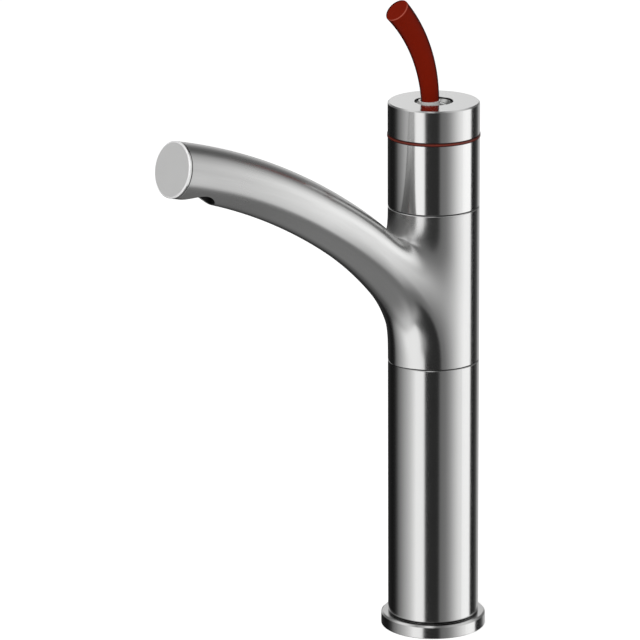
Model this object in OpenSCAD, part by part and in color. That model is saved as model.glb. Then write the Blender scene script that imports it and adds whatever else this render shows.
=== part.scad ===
// Kitchen mixer tap with a tall round column, a curved spout that swivels on it
// and a joystick lever on top. Sizes are in millimetres. The origin is on the
// column's axis at the deck, +Z is up and the spout points along -Y.

/* [Column] */
// Outer diameter of the column and of every ring stacked on it
column_d = 48; // [47:0.5:58]
// Wall of the lower column tube
column_wall = 2; // [1.5:0.5:3]
// Height of the lower column tube above its flange
lower_column_h = 140; // [80:5:260]
// Height of the ring that carries the spout, from joint to joint
spout_ring_h = 84; // [80:1:110]
// Height of the plain sleeve above the spout ring
upper_housing_h = 37; // [34:1:60]
// Height of the coloured ring between sleeve and cap
accent_ring_h = 1.4; // [1:0.2:3]
// How far the coloured ring stands out of the column
accent_ring_proud = 0.3; // [0:0.1:1]
// Height of the cap above the coloured ring
top_cap_h = 17; // [14:0.5:24]
// Bevel on the cap's upper edge
cap_bevel = 0.7; // [0.2:0.1:1.5]

/* [Base] */
// Height of the flange that stands on the deck
flange_h = 7; // [5:0.5:12]
// How far the flange stands out past the column
flange_overhang = 3.7; // [2.5:0.1:10]
// Bevel on the flange's upper edge
flange_bevel = 0.9; // [0.3:0.1:1.5]
// Thickness of the gasket under the flange
gasket_t = 1.6; // [1:0.2:3]
// Height of the brass insert in the column's foot
insert_h = 20; // [18:1:40]
// Radius of the threaded hole for the fixing stud
stud_hole_r = 3.4; // [2.5:0.1:4.2]
// Depth of the threaded hole for the fixing stud
stud_hole_h = 15; // [8:1:16]
// Radius of the threaded socket for each supply hose
hose_socket_r = 4.5; // [4.2:0.1:5.2]
// Depth of the threaded socket for each supply hose
hose_socket_h = 12; // [8:1:14]
// Distance of each supply line from the column's axis
supply_offset = 9.5; // [9:0.1:9.8]

/* [Spout] */
// Outer diameter of the spout tube
spout_d = 29; // [24:0.5:32]
// Wall of the spout tube
spout_wall = 2.5; // [2:0.25:4]
// Radius of the first bend, where the spout leaves the ring
root_bend_r = 75; // [65:1:90]
// Angle of the first bend
root_bend_angle = 41; // [34:1:46]
// Radius of the middle bend
mid_bend_r = 200; // [120:5:400]
// Angle of the middle bend
mid_bend_angle = 14; // [6:1:18]
// Radius of the last bend, towards the tip
tip_bend_r = 310; // [200:5:500]
// Angle of the last bend
tip_bend_angle = 20.8; // [14:0.1:24]
// Thickness of the disc that closes the tip
end_cap_t = 2; // [1.5:0.5:4]
// Length of the spigot that holds the disc in the tube
end_cap_spigot_h = 5; // [3:1:6]

/* [Outlet] */
// Diameter of the outlet hole under the tip
outlet_d = 21; // [18:0.5:22]
// Web of metal between the outlet hole and the disc's spigot
outlet_web = 0.5; // [0.5:0.5:20]
// Height of the aerator housing
aerator_h = 9; // [6:0.5:10]
// Height of the aerator's lower rim under the spout's centre line
aerator_drop = 9.5; // [8:0.5:11]

/* [Lever] */
// Diameter of the lever at its foot
lever_foot_d = 9.3; // [8:0.1:10]
// Diameter of the lever at its tip
lever_tip_d = 13.4; // [8:0.2:18]
// Bend radius of the lever's centre line
lever_bend_r = 78; // [60:1:150]
// Angle through which the lever bends
lever_bend_angle = 42.6; // [25:0.1:60]
// Forward lean of the lever's foot
lever_lean = 1; // [0:0.5:5]
// Distance of the lever's foot in front of the column's axis
lever_offset = 3; // [0:0.1:3.5]
// Greatest lift of the lever, from closed to full flow
lever_tilt = 20; // [12:1:22]
// Width of the metal collar round the lever's foot
collar_w = 1; // [0.6:0.1:1.5]
// Height of the metal collar above the dome
collar_h = 1.6; // [0.8:0.1:3]

/* [Cartridge] */
// Outer diameter of the mixing cartridge
cartridge_d = 34.8; // [34:0.2:35.6]
// Distance from the lever's pivot down to the ball that drives the disc
drive_arm = 18; // [14:0.5:19]
// Thickness of the fixed ceramic disc
fixed_disc_t = 3.5; // [2.5:0.5:5]
// Thickness of the moving ceramic disc
moving_disc_t = 3; // [2:0.5:4]
// Radius of each water port
port_r = 3; // [2:0.1:3.2]
// Radius of the lever's pivot pin
pivot_pin_r = 1.5; // [1:0.1:2]

/* [Swivel] */
// Travel of the spout to each side of the front
swivel_half_angle = 70; // [30:5:80]
// Wall of the spout ring round the valve body
spout_ring_wall = 4.95; // [4:0.05:5.2]
// Thickness of the plastic slide rings in the two joints
slide_ring_t = 0.5; // [0.4:0.1:1.5]
// How far the slide rings lie back from the column's surface
slide_ring_inset = 0.5; // [0.2:0.1:1.5]
// Radius of the stop pin's head
stop_pin_r = 1.5; // [1:0.1:2]
// Wire radius of the sealing rings
seal_wire_r = 1.3; // [0.9:0.1:1.5]

/* [Hidden] */
$fn = 96;
// Cuts run past the faces that they open by this much
overrun = 1;
// Radial gap of a shaft that turns in its bore
running_gap = 0.05;
// Radial gap of pieces that are pressed or screwed together
fit_gap = 0.05;
// Small bevel on the edges beside the two joints
joint_bevel = 0.3;

column_r = column_d / 2;
column_bore_r = column_r - column_wall;
flange_r = column_r + flange_overhang;
flange_z = flange_h;
lower_joint_z = flange_z + lower_column_h;
upper_joint_z = lower_joint_z + spout_ring_h;
housing_top_z = upper_joint_z + upper_housing_h;
ring_top_z = housing_top_z + accent_ring_h;
top_z = ring_top_z + top_cap_h;

// The valve body turns in the spout ring and carries sleeve, ring and cap
spigot_r = column_r - spout_ring_wall - running_gap;
sleeve_wall = 3.45;
cup_r = column_r - sleeve_wall - fit_gap;
cup_thread_h = 6.6;
cup_top_z = ring_top_z + cup_thread_h;
cartridge_r = cartridge_d / 2;
nut_step = 1.15;
nut_r = cartridge_r + nut_step;

// The dome closes the cap's hole and swings about the lever's pivot
dome_side_gap = 0.65;
dome_gap = 0.4;
dome_recess = 0.5;
dome_t = 1.5;
dome_r = nut_r - dome_side_gap;
pivot_z = top_z - dome_recess - dome_r;
lever_foot_r = lever_foot_d / 2;
lever_tip_r = lever_tip_d / 2;
collar_r = lever_foot_r + collar_w;
foot_z = pivot_z + sqrt(dome_r * dome_r - lever_offset * lever_offset);
collar_top_z = foot_z + collar_h;
lever_hole_gap = 0.9;
lever_hole_r = (collar_r - lever_offset) * cos(lever_tilt)
             + (collar_top_z - pivot_z) * sin(lever_tilt) + lever_hole_gap;
cap_under_z = pivot_z + sqrt(pow(dome_r + dome_gap, 2) - lever_hole_r * lever_hole_r);
dome_margin_angle = 3;
dome_span = asin(lever_hole_r / dome_r) + lever_tilt + dome_margin_angle;

// The cartridge hangs from the pivot downwards
ball_z = pivot_z - drive_arm;
disc_travel = drive_arm * sin(lever_tilt);
nut_clear = 1.2;
nut_h = 8;
nut_top_z = pivot_z + (dome_r - dome_t) * cos(dome_span + lever_tilt) - nut_clear;
nut_bottom_z = nut_top_z - nut_h;
ball_r = 2.4;
ball_gap = 0.1;
hub_wall = 2.5;
hub_gap = 0.1;
hub_r = pivot_pin_r + hub_wall;
carrier_rim_h = 1.5;
carrier_h = 5;
carrier_top_z = ball_z + carrier_rim_h;
carrier_z = carrier_top_z - carrier_h;
disc_film = 0.02;
moving_disc_z = carrier_z - moving_disc_t;
fixed_disc_z = moving_disc_z - disc_film - fixed_disc_t;
cartridge_base_t = 4;
seat_z = fixed_disc_z - cartridge_base_t;
cartridge_wall = 3.4;
disc_chamber_r = cartridge_r - cartridge_wall;
rotor_ledge = 1.6;
rotor_r = disc_chamber_r - rotor_ledge;
rotor_gap_z = 0.5;
rotor_z = carrier_top_z + rotor_gap_z;
rotor_ear_h = 3;
rotor_top_z = pivot_z + rotor_ear_h;
neck_wall = 2.85;
neck_r = rotor_r + running_gap + neck_wall;
neck_top_z = pivot_z;
disc_side_gap = 1.9;
moving_disc_r = disc_chamber_r - disc_travel / 2 - disc_side_gap;
disc_rest_y = disc_travel / 2;
port_seal_w = 1.5;
seat_ring_clear = 0.3;

// The spout's centre line: three bends in line, from upright to nearly level
spout_r = spout_d / 2;
spout_bore_r = spout_r - spout_wall;
ring_z = lower_joint_z + slide_ring_t;
ring_h = spout_ring_h - 2 * slide_ring_t;
ring_bore_r = spigot_r + running_gap;
root_inset = 0.3;
root_rise = 0.7;
root_p = [0, -(column_r - spout_r - root_inset), lower_joint_z + root_rise];
mid_turn = root_bend_angle;
tip_turn = mid_turn + mid_bend_angle;
end_turn = tip_turn + tip_bend_angle;

function bend_end(bend_r, angle) = [0, -bend_r * (1 - cos(angle)), bend_r * sin(angle)];
function turned(v, angle) = [v[0], v[1] * cos(angle) - v[2] * sin(angle), v[1] * sin(angle) + v[2] * cos(angle)];

mid_p = root_p + bend_end(root_bend_r, root_bend_angle);
tip_p = mid_p + turned(bend_end(mid_bend_r, mid_bend_angle), mid_turn);
end_p = tip_p + turned(bend_end(tip_bend_r, tip_bend_angle), tip_turn);
outlet_r = outlet_d / 2;
outlet_setback = end_cap_spigot_h + outlet_web + outlet_r;
outlet_back_angle = outlet_setback / tip_bend_r * 180 / PI;
outlet_turn = end_turn - outlet_back_angle;
outlet_p = tip_p + turned(bend_end(tip_bend_r, tip_bend_angle - outlet_back_angle), tip_turn);
end_seat_step = 0.3;
end_seat_r = spout_bore_r + end_seat_step;
outlet_boss_wall = 1.5;
outlet_boss_bite = 0.8;
outlet_boss_r = max(outlet_r + outlet_boss_wall, spout_bore_r + outlet_boss_bite);
outlet_lip_w = 2.5;
outlet_lip_h = 2;
washer_t = 1.5;
// Heights here are along the outlet's own axis, from the spout's centre line
aerator_z = -aerator_drop;
washer_z = aerator_z + aerator_h;
outlet_lip_z = washer_z + washer_t;
aerator_wall = 1.75;
aerator_r = outlet_r - fit_gap;
aerator_bore_r = aerator_r - aerator_wall;
aerator_core_r = aerator_bore_r - fit_gap;
aerator_core_share = 0.55;
aerator_core_inset = 1;
aerator_hole_r = 0.8;
aerator_hole_pitch = aerator_core_r / 3.7;
screen_t = 0.6;

// Water runs up two ducts, through the discs and down to a chamber round the body
passage_start = 18;
chamber_angle = acos(1 - (ring_bore_r + root_p[1]) / root_bend_r);
chamber_z = root_p[2] + root_bend_r * sin(chamber_angle);
chamber_half_h = spout_bore_r * 1.35;
chamber_depth = 3.5;
chamber_r = spigot_r - chamber_depth;
outlet_duct_r = 3.6;
stop_reach = 2.5;
stop_z = ring_z + stop_pin_r * 3.4;
stop_slot_top_z = stop_z + stop_pin_r + 2 * seat_ring_clear;
stop_slot_r = spigot_r + stop_reach + seat_ring_clear;
stop_pin_h = 8;
stop_play_angle = 1;
stop_slot_half_angle = swivel_half_angle + asin(stop_pin_r / spigot_r) + stop_play_angle;
seal_groove_h = 2 * seal_wire_r + 4 * running_gap;
lower_seal_z = (stop_slot_top_z + chamber_z - chamber_half_h) / 2;
upper_seal_inset = 9;
upper_seal_z = upper_joint_z - upper_seal_inset;

// The head closes the column tube and holds the valve body's threaded tail
tail_step = 5;
tail_r = spigot_r - tail_step;
head_h = 14;
tail_h = 16;
tail_z = lower_joint_z - tail_h;
supply_tube_wall = 1;
supply_tube_r = port_r + supply_tube_wall;
supply_tube_seat_h = 8;

// A plain ring or tube standing on z = 0
module ring(outer_r, inner_r, h) {
    difference() {
        cylinder(r = outer_r, h = h);
        translate([0, 0, -overrun]) cylinder(r = inner_r, h = h + 2 * overrun);
    }
}

// A tube with a small bevel on the outside of both ends, or of one of them
module bevelled_ring(outer_r, inner_r, h, low_bevel, high_bevel) {
    rotate_extrude() polygon([
        [inner_r, 0], [outer_r - low_bevel, 0], [outer_r, low_bevel],
        [outer_r, h - high_bevel], [outer_r - high_bevel, h], [inner_r, h]
    ]);
}

// A round sealing ring whose outside has the given radius
module seal_ring(outer_r, wire_r) {
    rotate_extrude() translate([outer_r - wire_r, 0]) circle(r = wire_r, $fn = 32);
}

// Both supply lines, one on each side of the axis
module at_supply_lines() {
    for (side = [-1, 1]) translate([side * supply_offset, 0, 0]) children();
}

module base_flange() {
    gasket_groove_inner_r = column_bore_r + flange_overhang / 2;
    gasket_groove_outer_r = flange_r - flange_overhang / 3;
    color("silver") difference() {
        bevelled_ring(flange_r, column_bore_r, flange_h, joint_bevel, flange_bevel);
        translate([0, 0, -overrun]) ring(gasket_groove_outer_r, gasket_groove_inner_r, gasket_t + overrun);
    }
}

module deck_gasket() {
    gasket_inner_r = column_bore_r + flange_overhang / 2 + fit_gap;
    gasket_outer_r = flange_r - flange_overhang / 3 - fit_gap;
    color("black") ring(gasket_outer_r, gasket_inner_r, gasket_t);
}

module base_insert() {
    color("goldenrod") difference() {
        cylinder(r = column_bore_r - fit_gap, h = insert_h);
        translate([0, 0, -overrun]) cylinder(r = stud_hole_r, h = stud_hole_h + overrun);
        at_supply_lines() {
            translate([0, 0, -overrun]) cylinder(r = hose_socket_r, h = hose_socket_h + overrun);
            cylinder(r = supply_tube_r + fit_gap, h = insert_h + overrun);
        }
    }
}

module lower_column() {
    color("silver") translate([0, 0, flange_z])
        bevelled_ring(column_r, column_bore_r, lower_column_h, 0, joint_bevel);
}

module supply_tube(side) {
    color("peru") translate([side * supply_offset, 0, hose_socket_h])
        ring(supply_tube_r, port_r, tail_z + supply_tube_seat_h - hose_socket_h);
}

module supply_tube_hot() {
    supply_tube(-1);
}

module supply_tube_cold() {
    supply_tube(1);
}

module column_head() {
    color("goldenrod") translate([0, 0, lower_joint_z - head_h])
        ring(column_bore_r - fit_gap, tail_r + fit_gap, head_h);
}

// The turned outline of the valve body: tail, spigot and the cup on top
module valve_body_blank() {
    rotate_extrude() polygon([
        [0, tail_z], [tail_r, tail_z], [tail_r, lower_joint_z],
        [spigot_r, lower_joint_z], [spigot_r, upper_joint_z],
        [cup_r, upper_joint_z], [cup_r, cup_top_z], [nut_r + fit_gap, cup_top_z],
        [nut_r + fit_gap, nut_bottom_z], [cartridge_r + fit_gap, nut_bottom_z],
        [cartridge_r + fit_gap, seat_z], [0, seat_z]
    ]);
}

// A ring of metal that is turned away to leave a groove in a shaft
module groove(shaft_r, floor_r, z, h) {
    translate([0, 0, z - h / 2]) ring(shaft_r + overrun, floor_r, h);
}

module valve_body() {
    seal_floor_r = spigot_r - 2 * seal_wire_r - fit_gap;
    color("goldenrod") difference() {
        valve_body_blank();
        groove(spigot_r, chamber_r, chamber_z, 2 * chamber_half_h);
        groove(spigot_r, seal_floor_r, lower_seal_z, seal_groove_h);
        groove(spigot_r, seal_floor_r, upper_seal_z, seal_groove_h);
        at_supply_lines() {
            translate([0, 0, tail_z - overrun]) cylinder(r = port_r, h = seat_z - tail_z + 2 * overrun);
            translate([0, 0, tail_z - overrun])
                cylinder(r = supply_tube_r + fit_gap, h = supply_tube_seat_h + overrun);
        }
        // Mixed water comes down this duct and out through the cross hole
        translate([0, supply_offset, chamber_z])
            cylinder(r = outlet_duct_r, h = seat_z - chamber_z + overrun);
        translate([0, supply_offset, chamber_z])
            rotate([-90, 0, 0]) cylinder(r = outlet_duct_r, h = spigot_r);
        translate([0, spigot_r + stop_reach, stop_z])
            rotate([90, 0, 0]) cylinder(r = stop_pin_r + fit_gap, h = stop_pin_h + overrun);
    }
}

module swivel_stop_pin() {
    color("dimgray") translate([0, spigot_r + stop_reach, stop_z])
        rotate([90, 0, 0]) cylinder(r = stop_pin_r, h = stop_pin_h);
}

module lower_swivel_seal() {
    color("black") translate([0, 0, lower_seal_z]) seal_ring(spigot_r, seal_wire_r);
}

module upper_swivel_seal() {
    color("black") translate([0, 0, upper_seal_z]) seal_ring(spigot_r, seal_wire_r);
}

module slide_ring(z) {
    color("dimgray") translate([0, 0, z])
        ring(column_r - slide_ring_inset, spigot_r + fit_gap, slide_ring_t);
}

module lower_slide_ring() {
    slide_ring(lower_joint_z);
}

module upper_slide_ring() {
    slide_ring(upper_joint_z - slide_ring_t);
}

module upper_housing() {
    color("silver") translate([0, 0, upper_joint_z])
        bevelled_ring(column_r, cup_r + fit_gap, upper_housing_h, joint_bevel, joint_bevel);
}

module accent_ring() {
    color("firebrick") translate([0, 0, housing_top_z])
        ring(column_r + accent_ring_proud, cup_r + fit_gap, accent_ring_h);
}

module top_cap() {
    thread_bore_r = cup_r + fit_gap;
    color("silver") rotate_extrude() polygon([
        [lever_hole_r, cap_under_z], [lever_hole_r, top_z - joint_bevel],
        [lever_hole_r + joint_bevel, top_z], [column_r - cap_bevel, top_z],
        [column_r, top_z - cap_bevel], [column_r, ring_top_z + joint_bevel],
        [column_r - joint_bevel, ring_top_z], [thread_bore_r, ring_top_z], [thread_bore_r, cap_under_z]
    ]);
}

// The three water ports of the cartridge: hot, cold and mixed
module ports(r, z, h) {
    at_supply_lines() translate([0, 0, z]) cylinder(r = r, h = h);
    translate([0, supply_offset, z]) cylinder(r = r, h = h);
}

module cartridge_base() {
    port_seal_groove_r = port_r + port_seal_w + fit_gap;
    color("whitesmoke") difference() {
        translate([0, 0, seat_z]) cylinder(r = cartridge_r, h = cartridge_base_t);
        ports(port_r, seat_z - overrun, cartridge_base_t + 2 * overrun);
        ports(port_seal_groove_r, seat_z - overrun, cartridge_base_t / 3 + overrun);
    }
}

module port_seals() {
    port_seal_r = port_r + port_seal_w;
    color("black") difference() {
        ports(port_seal_r, seat_z, cartridge_base_t / 3);
        ports(port_r, seat_z - overrun, cartridge_base_t);
    }
}

module fixed_disc() {
    color("white") difference() {
        translate([0, 0, fixed_disc_z]) cylinder(r = disc_chamber_r - fit_gap, h = fixed_disc_t);
        ports(port_r, fixed_disc_z - overrun, fixed_disc_t + 2 * overrun);
    }
}

module cartridge_housing() {
    color("lightgray") rotate_extrude() polygon([
        [disc_chamber_r, fixed_disc_z], [cartridge_r, fixed_disc_z], [cartridge_r, nut_bottom_z],
        [neck_r, nut_bottom_z], [neck_r, neck_top_z], [rotor_r + running_gap, neck_top_z],
        [rotor_r + running_gap, rotor_z], [disc_chamber_r, rotor_z]
    ]);
}

module cartridge_nut() {
    nut_bore_r = neck_r + 4 * fit_gap;
    notch_w = 4;
    notch_h = 3;
    color("goldenrod") translate([0, 0, nut_bottom_z]) difference() {
        ring(nut_r, nut_bore_r, nut_h);
        for (angle = [45 : 90 : 315]) rotate([0, 0, angle])
            translate([0, -notch_w / 2, nut_h - notch_h]) cube([nut_r + overrun, notch_w, notch_h + overrun]);
    }
}

module cartridge_rotor() {
    slot_half_w = hub_r + hub_gap;
    slot_end_wall = 3.3;
    slot_half_l = rotor_r - slot_end_wall;
    cheek_t = 2.4;
    cheek_w = 8;
    cheek_gap = 0.1;
    color("whitesmoke") {
        difference() {
            translate([0, 0, rotor_z]) cylinder(r = rotor_r, h = rotor_top_z - rotor_z);
            translate([-slot_half_w, -slot_half_l, rotor_z - overrun])
                cube([2 * slot_half_w, 2 * slot_half_l, rotor_top_z - rotor_z + 2 * overrun]);
            translate([-column_r, 0, pivot_z]) rotate([0, 90, 0]) cylinder(r = pivot_pin_r + running_gap, h = column_d);
        }
        // Two cheeks reach down and guide the disc carrier
        for (side = [-1, 1])
            translate([side * (moving_disc_r + cheek_gap + cheek_t / 2) - cheek_t / 2, -cheek_w / 2, carrier_z])
                cube([cheek_t, cheek_w, rotor_z - carrier_z + overrun]);
    }
}

module pivot_pin() {
    pivot_pin_inset = 1;
    pivot_pin_l = 2 * (rotor_r - pivot_pin_inset);
    color("dimgray") translate([-pivot_pin_l / 2, 0, pivot_z]) rotate([0, 90, 0])
        cylinder(r = pivot_pin_r, h = pivot_pin_l);
}

module moving_disc() {
    mixing_pocket_depth = moving_disc_t / 2;
    mixing_pocket_share = 0.6;
    color("white") translate([0, disc_rest_y, moving_disc_z]) difference() {
        cylinder(r = moving_disc_r, h = moving_disc_t);
        translate([0, 0, -overrun]) cylinder(r = moving_disc_r * mixing_pocket_share, h = mixing_pocket_depth + overrun);
    }
}

module disc_carrier() {
    drive_floor_t = 0.8;
    color("lightgray") difference() {
        translate([0, disc_rest_y, carrier_z]) cylinder(r = moving_disc_r, h = carrier_h);
        translate([0, 0, carrier_z + drive_floor_t]) cylinder(r = ball_r + ball_gap, h = carrier_h);
    }
}

// The lever's own frame: its foot on the dome, leaning a little forward
module at_lever_foot() {
    translate([0, -lever_offset, foot_z]) rotate([lever_lean, 0, 0]) children();
}

// A threaded stud joins spindle, dome and lever
stud_r = 2;
stud_below = 8;
stud_above = 9;

module stud_hole() {
    at_lever_foot() translate([0, 0, -stud_below - overrun])
        cylinder(r = stud_r + fit_gap, h = stud_below + stud_above + 2 * overrun);
}

// The spindle ends in a round head that carries the dome
head_r = 6.5;
head_rise = 7;
head_z = pivot_z + head_rise;
head_top_z = pivot_z + sqrt(pow(dome_r - dome_t, 2) - head_r * head_r);

module lever_spindle() {
    arm_r = 1.5;
    neck_rod_r = 3;
    color("slategray") difference() {
        union() {
            translate([0, 0, ball_z]) sphere(r = ball_r);
            translate([0, 0, ball_z]) cylinder(r = arm_r, h = drive_arm);
            translate([-hub_r, 0, pivot_z]) rotate([0, 90, 0]) cylinder(r = hub_r, h = 2 * hub_r);
            translate([0, 0, pivot_z]) cylinder(r = neck_rod_r, h = head_z - pivot_z + overrun);
            translate([0, 0, head_z]) cylinder(r = head_r, h = head_top_z - head_z);
        }
        translate([-column_r, 0, pivot_z]) rotate([0, 90, 0]) cylinder(r = pivot_pin_r + running_gap, h = column_d);
        stud_hole();
    }
}

module lever_dome() {
    dome_low_z = dome_r * cos(dome_span);
    color("silver") difference() {
        translate([0, 0, pivot_z]) difference() {
            sphere(r = dome_r);
            translate([0, 0, -dome_r - overrun]) cylinder(r = dome_r + overrun, h = dome_r + overrun + dome_low_z);
            // The boss under the dome is left standing on the spindle's head
            difference() {
                sphere(r = dome_r - dome_t);
                translate([0, 0, head_top_z - pivot_z]) cylinder(r = head_r, h = dome_r);
            }
        }
        stud_hole();
    }
}

module lever_collar() {
    collar_low_h = 4;
    color("gainsboro") difference() {
        at_lever_foot() translate([0, 0, -collar_low_h])
            ring(collar_r, lever_foot_r + fit_gap, collar_low_h + collar_h);
        translate([0, 0, pivot_z]) sphere(r = dome_r);
    }
}

module lever_stud() {
    color("slategray") at_lever_foot() translate([0, 0, -stud_below])
        cylinder(r = stud_r, h = stud_below + stud_above);
}

// A solid tube through a list of stations, each [centre, turn about X, radius]
module bent_tube(stations, sides) {
    last = len(stations) - 1;
    points = concat(
        [for (st = stations, j = [0 : sides - 1]) let (around = 360 * j / sides)
            st[0] + turned([st[2] * cos(around), st[2] * sin(around), 0], st[1])],
        [stations[0][0], stations[last][0]]
    );
    foot_centre = len(points) - 2;
    tip_centre = len(points) - 1;
    function at(i, j) = i * sides + j % sides;
    polyhedron(points = points, faces = concat(
        [for (i = [0 : last - 1], j = [0 : sides - 1]) [at(i, j), at(i + 1, j), at(i + 1, j + 1)]],
        [for (i = [0 : last - 1], j = [0 : sides - 1]) [at(i, j), at(i + 1, j + 1), at(i, j + 1)]],
        [for (j = [0 : sides - 1]) [at(0, j), at(0, j + 1), foot_centre]],
        [for (j = [0 : sides - 1]) [at(last, j + 1), at(last, j), tip_centre]]
    ));
}

lever_sides = 36;
lever_steps = 20;
lever_sink = 3;
lever_edge = 0.6;
function lever_r(share) = lever_foot_r + (lever_tip_r - lever_foot_r) * share;
function lever_station(share, ahead, r) =
    let (angle = lever_bend_angle * share)
    [bend_end(lever_bend_r, angle) + turned([0, 0, ahead], angle), angle, r];

module lever_sweep() {
    bent_tube(concat(
        [lever_station(0, -lever_sink, lever_foot_r)],
        [for (i = [0 : lever_steps]) lever_station(i / lever_steps, 0, lever_r(i / lever_steps))],
        [lever_station(1, lever_edge, lever_tip_r - lever_edge)]
    ), lever_sides);
}

module lever() {
    color("firebrick") difference() {
        at_lever_foot() lever_sweep();
        translate([0, 0, pivot_z]) sphere(r = dome_r);
        stud_hole();
    }
}

spout_sides = 48;
passage_sides = 32;
root_steps = 12;
mid_steps = 4;
tip_steps = 7;

// Stations of the spout from the given angle of its first bend to the tip
function spout_stations(from, r) = concat(
    [for (i = [0 : root_steps - 1]) let (a = from + (root_bend_angle - from) * i / root_steps)
        [root_p + bend_end(root_bend_r, a), a, r]],
    [for (i = [0 : mid_steps - 1]) let (a = mid_bend_angle * i / mid_steps)
        [mid_p + turned(bend_end(mid_bend_r, a), mid_turn), mid_turn + a, r]],
    [for (i = [0 : tip_steps]) let (a = tip_bend_angle * i / tip_steps)
        [tip_p + turned(bend_end(tip_bend_r, a), tip_turn), tip_turn + a, r]]
);

// The outlet's own frame: +Z runs square to the tube, from the outlet inwards
module at_outlet() {
    translate(outlet_p) rotate([outlet_turn - 90, 0, 0]) children();
}

module outlet_column(r, z, h) {
    at_outlet() translate([0, 0, z]) cylinder(r = r, h = h);
}

module outlet_ring(outer_r, inner_r, z, h) {
    at_outlet() translate([0, 0, z]) ring(outer_r, inner_r, h);
}

// The ring turns on the valve body, and the tube is brazed to its side
module spout_ring() {
    color("silver") difference() {
        translate([0, 0, ring_z]) bevelled_ring(column_r, ring_bore_r, ring_h, joint_bevel, joint_bevel);
        bent_tube(spout_stations(passage_start, spout_bore_r), passage_sides);
        // The stop pin travels in this slot, which is open below
        translate([0, 0, ring_z - overrun]) rotate([0, 0, 90 - stop_slot_half_angle])
            rotate_extrude(angle = 2 * stop_slot_half_angle)
                translate([ring_bore_r - overrun, 0])
                    square([stop_slot_r - ring_bore_r + overrun, stop_slot_top_z - ring_z + overrun]);
    }
}

module spout_tube() {
    outlet_reach = 2 * spout_r;
    color("silver") difference() {
        bent_tube(spout_stations(0, spout_r), spout_sides);
        translate([0, 0, lower_joint_z - spout_r]) cylinder(r = column_r, h = spout_ring_h + spout_d);
        // The water passage leaves a boss standing round the outlet
        difference() {
            bent_tube(spout_stations(passage_start, spout_bore_r), passage_sides);
            outlet_column(outlet_boss_r, outlet_lip_z + outlet_lip_h - outlet_reach, outlet_reach);
        }
        // The disc's spigot sits in this turned seat
        translate(end_p) rotate([end_turn, 0, 0]) translate([0, 0, -end_cap_spigot_h])
            cylinder(r = end_seat_r, h = end_cap_spigot_h + overrun);
        outlet_column(outlet_r, outlet_lip_z - outlet_reach, outlet_reach);
        outlet_column(outlet_r - outlet_lip_w, outlet_lip_z - overrun, outlet_lip_h + 2 * overrun);
    }
}

module spout_end_cap() {
    cap_edge = 0.6;
    color("gainsboro") translate(end_p) rotate([end_turn, 0, 0]) rotate_extrude() polygon([
        [0, -end_cap_spigot_h], [end_seat_r - fit_gap, -end_cap_spigot_h], [end_seat_r - fit_gap, 0],
        [spout_r, 0], [spout_r, end_cap_t - cap_edge], [spout_r - cap_edge, end_cap_t], [0, end_cap_t]
    ]);
}

module aerator_housing() {
    color("darkgray") outlet_ring(aerator_r, aerator_bore_r, aerator_z, aerator_h);
}

// A middle hole and rings of 6, 12, 18 holes round it
module perforated_disc(r, h, hole_r, pitch) {
    difference() {
        cylinder(r = r, h = h);
        translate([0, 0, -overrun]) cylinder(r = hole_r, h = h + 2 * overrun);
        for (row = [1 : 3], k = [0 : 6 * row - 1])
            rotate([0, 0, 60 * k / row]) translate([row * pitch, 0, -overrun])
                cylinder(r = hole_r, h = h + 2 * overrun, $fn = 24);
    }
}

module aerator_core() {
    color("dimgray") at_outlet() translate([0, 0, aerator_z + aerator_core_inset])
        perforated_disc(aerator_core_r, aerator_h * aerator_core_share, aerator_hole_r, aerator_hole_pitch);
}

module aerator_screen() {
    color("silver") at_outlet() translate([0, 0, washer_z - screen_t])
        perforated_disc(aerator_core_r, screen_t, aerator_hole_r / 2, aerator_hole_pitch);
}

module aerator_washer() {
    color("black") outlet_ring(aerator_r, outlet_r - outlet_lip_w, washer_z, washer_t);
}

base_flange();
deck_gasket();
base_insert();
lower_column();
supply_tube_hot();
supply_tube_cold();
column_head();
valve_body();
swivel_stop_pin();
lower_swivel_seal();
upper_swivel_seal();
lower_slide_ring();
upper_slide_ring();
upper_housing();
accent_ring();
top_cap();
cartridge_base();
port_seals();
fixed_disc();
cartridge_housing();
cartridge_nut();
cartridge_rotor();
pivot_pin();
moving_disc();
disc_carrier();
lever_spindle();
lever_dome();
lever_collar();
lever_stud();
lever();
spout_ring();
spout_tube();
spout_end_cap();
aerator_housing();
aerator_core();
aerator_screen();
aerator_washer();
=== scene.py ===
import math

import bmesh
import bpy
import numpy as np
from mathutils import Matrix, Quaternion, Vector


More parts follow.
